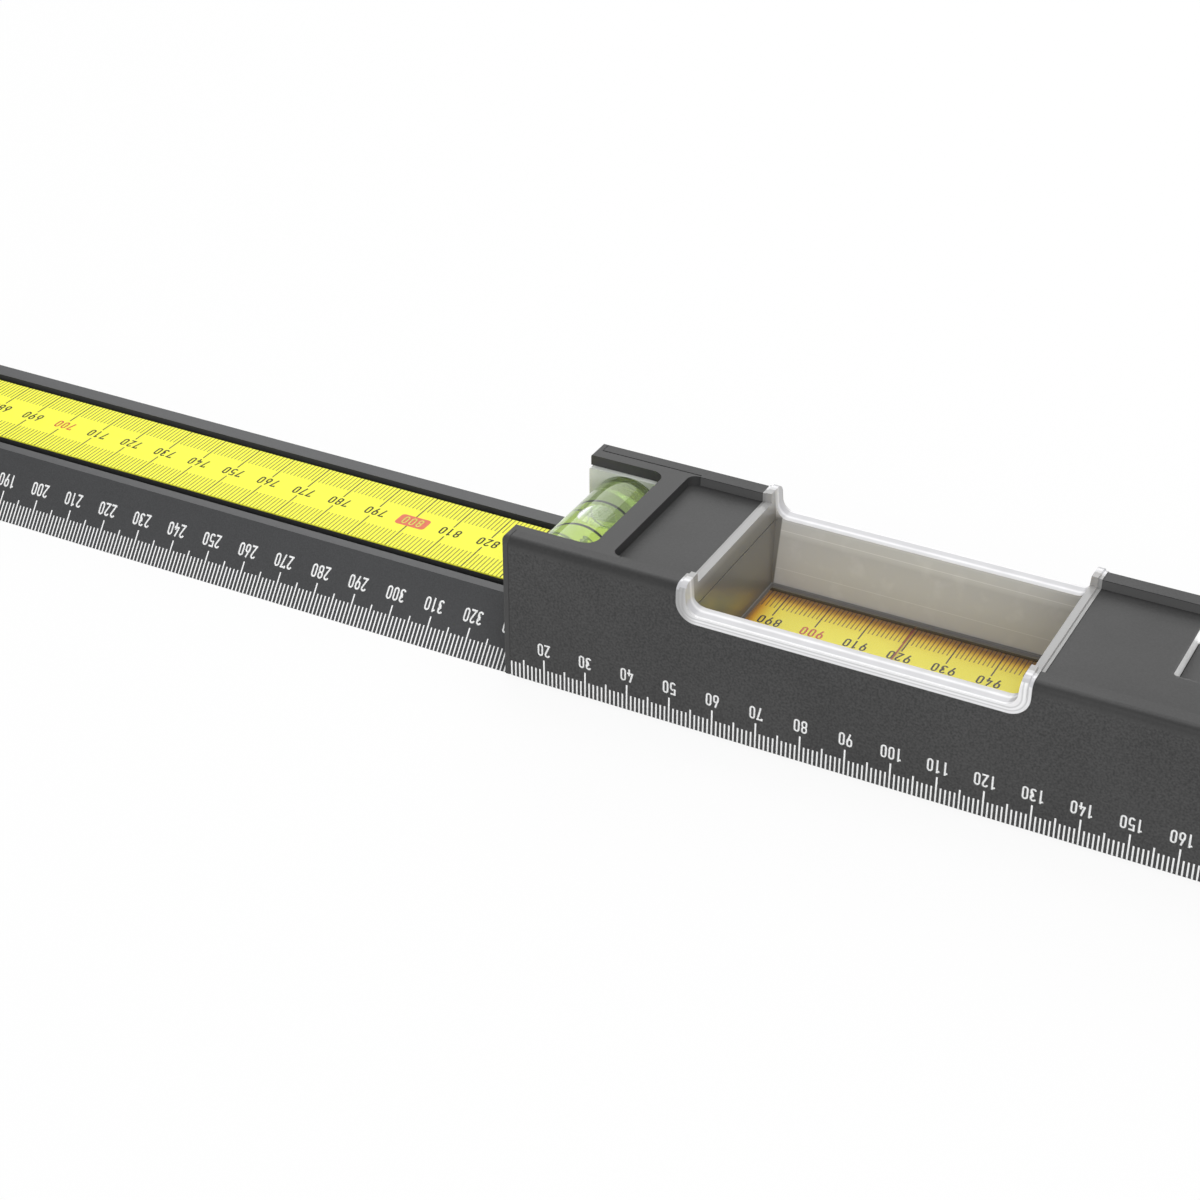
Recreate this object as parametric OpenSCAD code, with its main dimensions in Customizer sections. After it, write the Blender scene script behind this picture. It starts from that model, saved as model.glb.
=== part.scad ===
// Telescoping door frame level: a ruled rail slides out of a channel housing with a reading window.
// X runs along the tool, Y from the ruled side to the back, and Z up from the surface that it lies on.
// Lengths are counted from the tip of the closed tool, and widths from the ruled side face.
// The tool is set down with its origin in the middle of its sole. Sizes are in millimetres.

/* [Tool] */
// length with the rail pushed in, which is also the lowest reading
closed_len = 600; // [580:10:620]
// distance that the rail is drawn out
drawn_out = 320; // [280:5:340]
// longest distance that the rail can be drawn out
reach = 400; // [385:5:410]
// thickness of the caps at both ends of the tool
cap_t = 10; // [9:0.5:10]
// radius of the caps' outer edges
cap_r = 1; // [0.8:0.1:1.4]
// gap between the rail cap and the mouth when the rail is pushed in
mouth_gap = 0.3; // [0.2:0.1:0.6]

/* [Housing profile] */
// width of the housing
body_w = 47.2; // [47:0.2:48]
// height of the housing
body_h = 34.5; // [34.3:0.1:35]
// height of the housing's lower edges over the rail's sole
sole_lift = 0.85; // [0.7:0.05:1]
// thickness of the side walls
side_t = 1.2; // [1:0.1:1.2]
// thickness of the top wall
top_t = 1.6; // [1.4:0.1:1.7]
// radius of the two outer top edges
edge_r = 1.7; // [1.5:0.1:1.9]
// width of the raised rims along both top edges
rim_w = 4.7; // [4.5:0.1:4.9]
// depth of the recess between the rims
floor_drop = 2.2; // [2:0.1:2.4]
// clearance of the guide lips over the rail's back rim
lip_gap = 1.37; // [1.25:0.01:1.45]
// thickness of the guide lips
lip_t = 1.4; // [1.2:0.1:1.5]
// how far the guide lips stand out of the walls
lip_reach = 2.2; // [2:0.1:2.4]

/* [Screws] */
// outer radius of the screw ports in both profiles
port_r = 2.2; // [2:0.1:2.3]
// bore radius of the screw ports
port_bore_r = 1.25; // [1.1:0.05:1.35]
// depth to which a port merges with the wall beside it
port_sink = 0.4; // [0.3:0.1:0.6]
// height of the port on the ruled side
port_near_z = 11.4; // [11.2:0.1:11.6]
// radius of the countersunk screw heads
head_r = 2.2; // [2.1:0.05:2.3]
// radius of the hexagon socket's corners in a screw head
socket_r = 1; // [0.9:0.1:1.1]
// depth of the hexagon socket
socket_t = 0.8; // [0.6:0.1:0.8]
// length of thread in a port
screw_bite = 8; // [6:0.5:10]
// clearance round a screw's shank in the piece that it holds
screw_gap = 0.15; // [0.1:0.05:0.25]

/* [Mouth insert] */
// thickness of the flange that covers the profile's end
flange_t = 1.5; // [1.3:0.1:1.6]
// radius of the flange's edges
flange_r = 0.4; // [0.3:0.05:0.45]
// thickness of the insert's top plate
plate_t = 2.5; // [2.4:0.1:2.7]
// ruled side edge of the vial notch
notch_near_y = 5.9; // [5.7:0.1:6.1]
// distance of the vial notch from the housing's back side
notch_far_gap = 7; // [6.8:0.1:7.2]
// corner radius of the vial notch
notch_r = 3; // [2.5:0.1:3.5]
// width of the bar across the housing, between the notch and the recess
bar_w = 5; // [4.8:0.1:5.2]
// width of the bar that covers the edge of the vial's barrel
bar_cover = 0.2; // [0.1:0.1:0.3]
// corner radius of the recess beside the bar
recess_r = 2; // [1.6:0.1:2.4]
// length of the corner tabs beyond the bar
tab_len = 2.2; // [2.1:0.1:2.5]
// depth of the seat milled into the rims for the insert
seat_d = 0.75; // [0.7:0.05:0.8]
// slit between the insert and the back rim
slit_w = 0.3; // [0.25:0.05:0.35]
// thickness of the bulkhead that carries the guide feet
bulk_t = 3; // [2.6:0.1:3.2]
// distance from the notch to the bulkhead
bulk_off = 1; // [0.9:0.1:1.2]
// ruled side edge of the bulkhead
bulk_near_y = 7.5; // [7:0.1:8]
// distance of the bulkhead from the housing's back side
bulk_far_gap = 6; // [5.8:0.1:6.4]
// width of the flange's ruled side leg round its screw
leg_near_w = 6.2; // [6:0.1:6.4]
// height of that wide part, below and above the screw
leg_near_h = 3.4; // [3:0.1:3.6]
// width of the flange's back leg beside the port
leg_far_w = 6.2; // [5.8:0.1:6.4]
// width of the flange's legs beside the vial
leg_slim_w = 4.5; // [4.3:0.1:4.5]
// height over the port up to which the back leg is wide
leg_far_rise = 2.4; // [2.3:0.1:2.5]

/* [Guide feet] */
// clearance of the feet in the rail's slots
foot_gap = 0.25; // [0.2:0.05:0.35]
// clearance over the rail's top faces
ride_gap = 0.3; // [0.2:0.05:0.4]
// thickness of the feet's toes
toe_t = 1.4; // [1.2:0.1:1.6]

/* [Rail profile] */
// sole edge of the ruled bevel
rail_near_y = 1.3; // [1.3:0.02:1.4]
// back face of the rail, which slides on the housing's back wall
rail_far_gap = 0.1; // [0.05:0.01:0.15]
// run of the bevel for each millimetre of height
bevel_run = 0.788; // [0.77:0.002:0.8]
// height of the back rim
far_rim_z = 13.63; // [13.5:0.01:13.7]
// width of the back rim
far_rim_w = 4.1; // [4:0.1:4.2]
// height of the back rim over the ruled side rim
rim_step = 0.48; // [0.44:0.01:0.52]
// ruled side edge of the ruled side slot
slot_near_y = 14.1; // [14:0.1:14.2]
// ruled side edge of the tape
tape_y = 16.7; // [16.6:0.1:16.8]
// thickness of the tape
tape_t = 0.3; // [0.25:0.05:0.35]
// depth of the tape's face below the ruled side rim
tape_sink = 0.05; // [0.02:0.01:0.08]
// width of the back slot's mouth
slot_far_w = 1.8; // [1.7:0.1:1.9]
// how far the slots widen below their lips, each way
undercut = 1.2; // [1.1:0.1:1.3]
// thickness of the slots' lips
slot_lip_t = 1.7; // [1.6:0.1:1.8]
// height of the slots' wide part
slot_h = 2.9; // [2.7:0.1:3]
// thickness of the rail's walls
rail_t = 1.4; // [1.2:0.1:1.4]
// distance of the rail's screw ports from the walls of its middle chamber
rail_port_in = 3.05; // [2.85:0.05:3.25]

/* [Rail ends] */
// length of the slider's flange at the rail's inner end
slider_t = 5; // [4.5:0.5:5.5]
// room between the slider and the end cap when the rail is pushed in
slider_room = 2; // [1.5:0.5:3]
// length of the slider's plug in the rail
plug_len = 10; // [8:1:12]
// clearance of the slider on the lips and walls
slider_gap = 0.3; // [0.25:0.05:0.35]
// thickness of the slider's wings over the lips
wing_t = 1.5; // [1.4:0.1:1.6]
// length of the end cap's tongue in the housing
tongue_len = 8; // [7:1:10]
// distance between the stop screw and the slider when the rail is drawn right out
stop_gap = 0.25; // [0.2:0.05:0.4]
// reach of the stop screw into the housing
stop_len = 4.2; // [4:0.2:5]
// height of the stop screw over the lip's upper face
stop_rise = 1.5; // [1.4:0.1:1.6]

/* [Reading window] */
// tool length that the red line reads, counted from the closed tool's tip
line_x = 89.4; // [89:0.1:90]
// length of the window's flange
window_len = 76.2; // [75:0.1:77]
// width of the window's flange
window_flange_w = 2.2; // [2.1:0.1:2.4]
// number of steps in which the flange rises over the housing
window_steps = 3; // [2:1:3]
// rise of each step
window_step_t = 0.2; // [0.15:0.05:0.2]
// width of a step in front of the next one
window_step_w = 0.7; // [0.6:0.1:0.7]
// depth of the flange's lower edge below the housing's top
window_depth = 8.2; // [8.05:0.05:8.35]
// height of the flange on the housing's sides
window_side_h = 2.2; // [2.1:0.1:2.4]
// width of the sill, from the housing's side to the inside of the window
sill_w = 3.5; // [3.4:0.1:3.6]
// outer corner radius of the flange
window_r = 4.5; // [4.2:0.1:4.8]
// inner corner radius of the flange
window_inner_r = 3; // [2.6:0.1:3.2]
// thickness of the window's walls
window_t = 1.4; // [1.3:0.1:1.4]
// thickness of the sills
sill_t = 1; // [0.9:0.1:1]
// thickness of the window's floor
window_floor_t = 0.8; // [0.7:0.1:1]
// clearance between the window and the housing
window_gap = 0.1; // [0.05:0.05:0.15]
// inward lean of the long walls over their height
lean_side = 3.4; // [3.2:0.1:3.4]
// inward lean of the end walls over their height
lean_end = 1.6; // [1.4:0.1:1.8]
// width of the red line
line_w = 0.4; // [0.3:0.05:0.5]
// depth of the red line's groove
line_d = 0.2; // [0.15:0.05:0.3]

/* [Cross vial] */
// clearance of the barrel over the rail's back rim
barrel_gap = 1.62; // [1.6:0.01:1.8]
// distance of the barrel's left edge from the mouth
barrel_left = 1.2; // [1:0.1:1.3]
// thickness of the barrel's wall
barrel_wall = 3.4; // [3.2:0.1:3.6]
// thickness of the barrel's end plates
end_plate_t = 3.7; // [3.5:0.1:3.8]
// distance of the end plates' left edge from the mouth
end_plate_x = 0.3; // [0.2:0.1:0.4]
// depth of the end plates' lower edge below the barrel's axis
end_plate_drop = 0.4; // [0.3:0.1:0.5]
// clearance of the end plates over the flange's back leg
end_plate_gap = 0.25; // [0.2:0.05:0.3]
// how far the barrel runs into the end plates
barrel_over = 2.8; // [2.6:0.1:2.9]
// length of the vials' plugs
vial_plug_t = 3; // [2.6:0.2:3.2]
// wall left at the closed end of a vial's bore
vial_end_t = 1.7; // [1.5:0.1:2]
// distance between the two level marks
mark_gap = 11; // [10.5:0.1:11.5]
// width of a level mark's ring
mark_w = 0.7; // [0.6:0.1:0.9]
// thickness of a level mark's ring
mark_t = 0.15; // [0.1:0.05:0.2]
// radius of the bubbles
bubble_r = 5; // [4.8:0.1:5.2]
// depth of the bubbles below the top of the liquid
bubble_d = 2.4; // [2.2:0.1:2.6]

/* [Long vial] */
// left edge of the long vial's opening
long_x = 149.3; // [149:0.1:150]
// length of the long vial's opening
long_len = 60; // [58:1:62]
// distance of the opening from the housing's back side
long_back = 8.3; // [8:0.1:8.5]
// width of the opening
long_w = 20.6; // [20:0.1:21]
// corner radius of the opening
long_r = 1.5; // [1.3:0.1:1.6]
// thickness of the clear wall round the well over the cover
long_rim_w = 0.4; // [0.35:0.05:0.5]
// depth of that well
long_sink = 3.4; // [3.2:0.1:3.6]
// gap between the clear wall and the cover
cover_gap = 0.35; // [0.3:0.05:0.4]
// thickness of the cover
cover_t = 1; // [0.9:0.1:1.2]
// clearance of the clear block over the slider's wings
long_gap = 1.35; // [1.2:0.05:1.5]
// wall left over the long vial's liquid
long_top_t = 0.8; // [0.7:0.1:0.9]
// wall left under the long vial's liquid
long_low_t = 1.4; // [1.3:0.1:1.5]
// wall left at both ends of the long vial's liquid
long_end_t = 3; // [2.8:0.1:3.2]
// corner radius of the cover
cover_r = 0.8; // [0.6:0.1:1]
// length of the sight slot in the cover
sight_len = 36; // [34:1:38]
// width of the sight slot
sight_w = 11; // [10.5:0.5:11.5]
// corner radius of the sight slot
sight_r = 3; // [2:0.5:4]

/* [Hidden] */
$fn = 48;
over = 1;

top_z = sole_lift + body_h;
floor_z = top_z - floor_drop;
ceiling_z = floor_z - top_t;
plate_z = top_z - plate_t;
far_y = body_w - side_t;
mouth_x = cap_t + mouth_gap;
profile_x = mouth_x + flange_t;
profile_end = closed_len - cap_t;
lip_z = far_rim_z + lip_gap;
lip_top_z = lip_z + lip_t;
tip_x = -drawn_out;
mid_x = (closed_len - drawn_out) / 2;

barrel_r = (plate_z - far_rim_z - barrel_gap) / 2;
barrel_axis_x = mouth_x + barrel_left + barrel_r;
barrel_axis_z = plate_z - barrel_r;
barrel_end_x = barrel_axis_x + barrel_r;
liquid_r = barrel_r - barrel_wall;
end_plate_y = body_w - rim_w - end_plate_t;
end_plate_z = barrel_axis_z - end_plate_drop;
barrel_end_y = end_plate_y + barrel_over;
vial_mid_y = body_w / 2;

leg_far_z = end_plate_z - end_plate_gap;
port_near_y = side_t + port_r - port_sink;
port_far_y = far_y - port_r + port_sink;
port_far_z = leg_far_z - leg_far_rise;
bar_x = barrel_end_x - bar_cover;
bar_end = bar_x + bar_w;
notch_far_y = body_w - notch_far_gap;
bulk_far_y = body_w - bulk_far_gap;
seat_y = rim_w - seat_d;
seat_w = body_w - 2 * seat_y;

rail_x = tip_x + cap_t;
slider_x = tip_x + closed_len - cap_t - slider_room - slider_t;
rail_far_y = far_y - rail_far_gap;
near_rim_z = far_rim_z - rim_step;
tape_z = near_rim_z - tape_sink;
bed_z = tape_z - tape_t;
slot_far_y = rail_far_y - far_rim_w;
tape_far_y = slot_far_y - slot_far_w;
tape_w = tape_far_y - tape_y;
slot_top_z = near_rim_z - slot_lip_t;
slot_low_z = slot_top_z - slot_h;
bulk_z = far_rim_z + ride_gap;
chamber_near_y = tape_y + undercut + rail_t;
chamber_far_y = tape_far_y - undercut - rail_t;
rail_port_z = rail_t + port_r - port_sink;
rail_port_ys = [chamber_near_y + rail_port_in, chamber_far_y - rail_port_in];
wing_z = lip_top_z + slider_gap;
wing_top_z = wing_z + wing_t;

stop_x = slider_x + drawn_out - reach - stop_gap - port_bore_r;
stop_z = lip_top_z + stop_rise;

window_x = line_x - window_len / 2;
inner_x = window_x + window_flange_w;
inner_len = window_len - 2 * window_flange_w;
window_bead_t = window_steps * window_step_t;
window_top_z = top_z + window_bead_t;
window_low_z = top_z - window_depth;
sill_z = window_low_z + window_side_h;
tub_low_z = bulk_z;
tub_floor_z = tub_low_z + window_floor_t;

long_y = body_w - long_back - long_w;
long_axis_y = long_y + long_w / 2;
long_mid_x = long_x + long_len / 2;
cover_z = floor_z - long_sink - cover_t;
long_low_z = wing_top_z + long_gap;
long_liquid_r = (cover_z - long_top_t - long_low_z - long_low_t) / 2;
long_axis_z = long_low_z + long_low_t + long_liquid_r;

plate_color = [0.17, 0.17, 0.175];
profile_color = [0.16, 0.165, 0.17];
clear_color = [0.88, 0.91, 0.9, 0.4];
green_color = [0.62, 0.8, 0.3, 0.6];
steel_color = [0.6, 0.61, 0.62];

// sets children down in the tool's frame
module at(x, y, z) {
    translate([x - mid_x, y - body_w / 2, z]) children();
}

// extrudes a cross-section drawn in Y and Z along X
module along_x(x, len) {
    at(x, 0, 0) rotate([90, 0, 90]) linear_extrude(height = len) children();
}

// extrudes a side view drawn in X and Z across the tool
module along_y(y, len) {
    at(0, y + len, 0) rotate([90, 0, 0]) linear_extrude(height = len) children();
}

module rounded(x, y, w, h, r) {
    translate([x + r, y]) square([w - 2 * r, h]);
    translate([x, y + r]) square([w, h - 2 * r]);
    for (cx = [x + r, x + w - r]) {
        for (cy = [y + r, y + h - r]) {
            translate([cx, cy]) circle(r = r);
        }
    }
}

// outside of the housing without its recess, grown by g
module block_outline(g, low) {
    translate([-g, low]) square([body_w + 2 * g, top_z - edge_r - low]);
    translate([edge_r, low]) square([body_w - 2 * edge_r, top_z + g - low]);
    for (y = [edge_r, body_w - edge_r]) {
        translate([y, top_z - edge_r]) circle(r = edge_r + g);
    }
}

module housing_outline(g) {
    difference() {
        block_outline(g, sole_lift);
        translate([rim_w + g, floor_z + g]) square([body_w - 2 * (rim_w + g), floor_drop + over]);
    }
}

// block from x on, len long and over low, with rounded edges round both of its ends
module rounded_edges(x, len, low, r) {
    intersection() {
        along_y(0, body_w) rounded(x, low, len, top_z - low, r);
        at(0, 0, low) linear_extrude(height = top_z - low) rounded(x, 0, len, body_w, r);
    }
}

module port(y, z) {
    translate([y, z]) circle(r = port_r);
}

module housing_section() {
    rim_void_w = rim_w - top_t - side_t;
    difference() {
        union() {
            difference() {
                housing_outline(0);
                translate([side_t, -over]) square([body_w - 2 * side_t, ceiling_z + over]);
                for (y = [side_t, far_y - rim_void_w]) {
                    translate([y, 0]) square([rim_void_w, top_z - top_t]);
                }
            }
            for (y = [side_t / 2, far_y - lip_reach]) {
                translate([y, lip_z]) square([lip_reach + side_t / 2, lip_t]);
            }
            port(port_near_y, port_near_z);
            port(port_far_y, port_far_z);
        }
        translate([port_near_y, port_near_z]) circle(r = port_bore_r);
        translate([port_far_y, port_far_z]) circle(r = port_bore_r);
    }
}

// side view of the cut for the window, shrunk by g all round, with its corners rounded below
module window_cut(g) {
    wall = window_t + window_gap - g;
    low = sill_z - sill_t - window_gap + g;
    rounded(inner_x - wall, low, inner_len + 2 * wall, body_h, window_inner_r + wall);
}

module housing_profile() {
    color(profile_color) difference() {
        along_x(profile_x, profile_end - profile_x) housing_section();
        at(profile_x - over, seat_y, floor_z)
            cube([bar_end + tab_len + window_gap - profile_x + over, seat_w, floor_drop + over]);
        at(profile_x - over, seat_y, ceiling_z - over)
            cube([bar_end + window_gap - profile_x + over, seat_w, top_t + 2 * over]);
        along_y(-over, body_w + 2 * over) window_cut(0);
        at(inner_x - window_t - window_gap, side_t, tub_low_z - window_gap)
            cube([inner_len + 2 * (window_t + window_gap), body_w - 2 * side_t, body_h]);
        at(0, 0, ceiling_z - over) linear_extrude(height = top_t + 2 * over)
            rounded(long_x, long_y, long_len, long_w, long_r);
        at(stop_x, 0, stop_z) rotate([-90, 0, 0]) screw_hole(side_t + over, port_bore_r);
    }
}

// countersunk hole that opens at the origin and runs along +Z
module screw_hole(len, r) {
    translate([0, 0, -over]) cylinder(r = r, h = len + over);
    cylinder(r1 = head_r, r2 = port_bore_r, h = head_r - port_bore_r);
    translate([0, 0, -over]) cylinder(r = head_r, h = over);
}

// countersunk screw with its head's face at the origin, running along +Z
module screw(len) {
    difference() {
        union() {
            cylinder(r1 = head_r, r2 = port_bore_r, h = head_r - port_bore_r);
            cylinder(r = port_bore_r, h = len);
        }
        translate([0, 0, -over]) cylinder(r = socket_r, h = socket_t + over, $fn = 6);
    }
}

// places children at both of the housing's ports, on the face at x, turned to run along X by dir
module at_ports(x, dir) {
    at(x, port_near_y, port_near_z) rotate([0, 90 * dir, 0]) children();
    at(x, port_far_y, port_far_z) rotate([0, 90 * dir, 0]) children();
}

module mouth_flange() {
    intersection() {
        block_outline(0, sole_lift);
        union() {
            square([side_t, top_z]);
            translate([far_y, 0]) square([side_t, top_z]);
            translate([0, port_near_z - leg_near_h]) square([leg_near_w, 2 * leg_near_h]);
            translate([0, port_near_z]) square([leg_slim_w, body_h]);
            translate([body_w - leg_far_w, bulk_z]) square([leg_far_w, leg_far_z - bulk_z]);
            translate([body_w - leg_slim_w, bulk_z]) square([leg_slim_w, body_h]);
            translate([0, plate_z]) square([body_w, plate_t]);
        }
    }
}

// foot of the bulkhead in one of the rail's undercut slots
module guide_foot(y0, y1) {
    toe_z = slot_top_z - ride_gap - toe_t;
    reach_y = undercut - foot_gap;
    translate([y0 + foot_gap, toe_z]) square([y1 - y0 - 2 * foot_gap, bulk_z + over - toe_z]);
    translate([y0 + foot_gap - reach_y, toe_z]) square([y1 - y0 - 2 * foot_gap + 2 * reach_y, toe_t]);
}

module mouth_insert() {
    color(plate_color) difference() {
        union() {
            intersection() {
                along_x(mouth_x, flange_t) mouth_flange();
                rounded_edges(mouth_x, flange_t, sole_lift, flange_r);
            }
            at(mouth_x + flange_t / 2, seat_y, plate_z)
                cube([bar_end - mouth_x - flange_t / 2, seat_w - slit_w, plate_t]);
            at(0, 0, floor_z) linear_extrude(height = floor_drop) difference() {
                translate([bar_end - over, seat_y]) square([tab_len + over, seat_w - slit_w]);
                rounded(bar_end, rim_w, body_w, body_w - 2 * rim_w, recess_r);
            }
            along_x(bar_x + bulk_off, bulk_t) {
                translate([bulk_near_y, bulk_z]) square([bulk_far_y - bulk_near_y, plate_z + over - bulk_z]);
                guide_foot(slot_near_y, tape_y);
                guide_foot(tape_far_y, slot_far_y);
            }
        }
        at(0, 0, plate_z - over) linear_extrude(height = plate_t + 2 * over)
            rounded(bar_x - body_w, notch_near_y, body_w, notch_far_y - notch_near_y, notch_r);
        at_ports(mouth_x, 1) screw_hole(flange_t + over, port_bore_r + screw_gap);
    }
}

module mouth_screws() {
    color(steel_color) at_ports(mouth_x, 1) screw(flange_t + screw_bite);
}

// cylinder along the cross vial's axis
module cross_rod(y, len, r) {
    at(barrel_axis_x, y + len, barrel_axis_z) rotate([90, 0, 0]) cylinder(r = r, h = len);
}

module cross_marks(r) {
    for (side = [-1, 1]) {
        cross_rod(vial_mid_y + side * mark_gap / 2 - mark_w / 2, mark_w, r);
    }
}

module cross_vial_barrel() {
    near_y = body_w - barrel_end_y;
    plate_len = barrel_end_x + window_gap - mouth_x - end_plate_x;
    color(clear_color) difference() {
        union() {
            cross_rod(near_y, barrel_end_y - near_y, barrel_r);
            for (y = [end_plate_y, body_w - end_plate_y - end_plate_t]) {
                at(mouth_x + end_plate_x, y, end_plate_z)
                    cube([plate_len, end_plate_t, plate_z - end_plate_z]);
            }
        }
        cross_rod(-over, barrel_end_y - vial_end_t + over, liquid_r);
        cross_marks(liquid_r + mark_t);
    }
}

module cross_vial_plug() {
    color(clear_color) cross_rod(body_w - barrel_end_y, vial_plug_t, liquid_r);
}

module cross_vial_liquid() {
    near_y = body_w - barrel_end_y + vial_plug_t;
    color(green_color) difference() {
        cross_rod(near_y, barrel_end_y - vial_end_t - near_y, liquid_r);
        at(barrel_axis_x, vial_mid_y, barrel_axis_z + liquid_r - bubble_d + bubble_r) sphere(r = bubble_r);
    }
}

module cross_vial_rings() {
    color([0.2, 0.22, 0.22]) difference() {
        cross_marks(liquid_r + mark_t);
        cross_rod(0, body_w, liquid_r);
    }
}

// place at height h of a window wall that starts at start and height z and leans in by lean to the floor
function wall_at(h, start, z, lean) = start + lean * (z - h) / (z - tub_floor_z);

// places at height h of the window's ruled side wall and left wall
function side_at(h) = wall_at(h, sill_w, sill_z, lean_side);
function end_at(h) = wall_at(h, inner_x, window_top_z, lean_end);

// tapered inside of the window, or its outside with a wall of thickness t, between two heights
module window_tub(t, z0, z1) {
    y0 = side_at(z0) - t;
    y1 = side_at(z1) - t;
    x0 = end_at(z0) - t;
    x1 = end_at(z1) - t;
    end_x = 2 * line_x;
    intersection() {
        along_x(window_x, window_len)
            polygon([[y0, z0], [body_w - y0, z0], [body_w - y1, z1], [y1, z1]]);
        along_y(0, body_w)
            polygon([[x0, z0], [end_x - x0, z0], [end_x - x1, z1], [x1, z1]]);
    }
}

// side view of the window's inside over its sills, with leaning ends and rounded corners
module window_void() {
    tilt = atan(lean_end / (window_top_z - tub_floor_z));
    corner_z = sill_z + window_inner_r;
    corner_x = end_at(corner_z) + window_inner_r / cos(tilt);
    touch_x = corner_x - window_inner_r * cos(tilt);
    touch_z = corner_z - window_inner_r * sin(tilt);
    high_z = window_top_z + over;
    high_x = end_at(high_z);
    end_x = 2 * line_x;
    polygon([[high_x, high_z], [touch_x, touch_z], [corner_x, sill_z], [end_x - corner_x, sill_z],
        [end_x - touch_x, touch_z], [end_x - high_x, high_z]]);
    for (x = [corner_x, end_x - corner_x]) {
        translate([x, corner_z]) circle(r = window_inner_r);
    }
}

// the part of the housing's skin of thickness t that lies inside the flange's edge, moved in by g
module window_skin(t, g) {
    intersection() {
        along_x(window_x + g, window_len - 2 * g) difference() {
            housing_outline(t);
            housing_outline(0);
        }
        along_y(-body_w, 3 * body_w)
            rounded(window_x + g, window_low_z + g, window_len - 2 * g, body_h, window_r - g);
    }
}

module reading_window() {
    color(clear_color) difference() {
        union() {
            for (i = [1 : window_steps]) {
                window_skin(i * window_step_t, (i - 1) * window_step_w);
            }
            intersection() {
                along_x(window_x, window_len) housing_outline(window_bead_t);
                along_y(-body_w, 3 * body_w) window_cut(window_gap);
            }
            window_tub(window_t, tub_low_z, sill_z - sill_t / 2);
        }
        along_y(-body_w, 3 * body_w) window_void();
        window_tub(0, tub_floor_z, window_top_z + over);
        red_line_cut();
    }
}

module red_line_cut() {
    line_y = side_at(tub_floor_z);
    at(line_x - line_w / 2, line_y, tub_low_z) cube([line_w, body_w - 2 * line_y, line_d]);
}

module red_line() {
    color([0.85, 0.1, 0.08]) red_line_cut();
}

// cylinder along the long vial's axis
module long_rod(x, len, r) {
    at(x, long_axis_y, long_axis_z) rotate([0, 90, 0]) cylinder(r = r, h = len);
}

module long_marks(r) {
    for (side = [-1, 1]) {
        long_rod(long_mid_x + side * mark_gap / 2 - mark_w / 2, mark_w, r);
    }
}

// outline of the long vial's block, moved in by g
module long_outline(g, r) {
    rounded(long_x + g, long_y + g, long_len - 2 * g, long_w - 2 * g, r);
}

module long_vial_block() {
    color(clear_color) difference() {
        at(0, 0, long_low_z) linear_extrude(height = floor_z - long_low_z) long_outline(0, long_r);
        at(0, 0, cover_z) linear_extrude(height = floor_z - cover_z + over) long_outline(long_rim_w, cover_r);
        long_rod(long_x + long_end_t, long_len, long_liquid_r);
        long_marks(long_liquid_r + mark_t);
    }
}

module long_vial_plug() {
    color(clear_color) long_rod(long_x + long_len - long_end_t, long_end_t, long_liquid_r);
}

module long_vial_liquid() {
    color(green_color) difference() {
        long_rod(long_x + long_end_t, long_len - 2 * long_end_t, long_liquid_r);
        at(long_mid_x, long_axis_y, long_axis_z + long_liquid_r - bubble_d + bubble_r) sphere(r = bubble_r);
    }
}

module long_vial_rings() {
    color([0.2, 0.22, 0.22]) difference() {
        long_marks(long_liquid_r + mark_t);
        long_rod(long_x, long_len, long_liquid_r);
    }
}

module long_vial_cover() {
    color(plate_color) at(0, 0, cover_z) linear_extrude(height = cover_t) difference() {
        long_outline(long_rim_w + cover_gap, cover_r);
        rounded(long_mid_x - sight_len / 2, long_axis_y - sight_w / 2, sight_len, sight_w, sight_r);
    }
}

// block of a cap from x on, whose edges are rounded at the ends of a block twice its length from far_x on
module cap_block(x, far_x) {
    intersection() {
        along_x(x, cap_t) block_outline(0, 0);
        rounded_edges(far_x, 2 * cap_t, 0, cap_r);
    }
}

module end_cap() {
    tongue_y = side_t + lip_reach;
    color(plate_color) difference() {
        union() {
            cap_block(profile_end, profile_end - cap_t);
            at(profile_end - tongue_len, tongue_y, ceiling_z - window_gap - plate_t)
                cube([tongue_len + over, body_w - 2 * tongue_y, plate_t]);
        }
        at_ports(closed_len, -1) screw_hole(cap_t + over, port_bore_r + screw_gap);
    }
}

module end_cap_screws() {
    color(steel_color) at_ports(closed_len, -1) screw(cap_t + screw_bite);
}

module stop_screw() {
    color(steel_color) at(stop_x, 0, stop_z) rotate([-90, 0, 0]) screw(stop_len);
}

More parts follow.
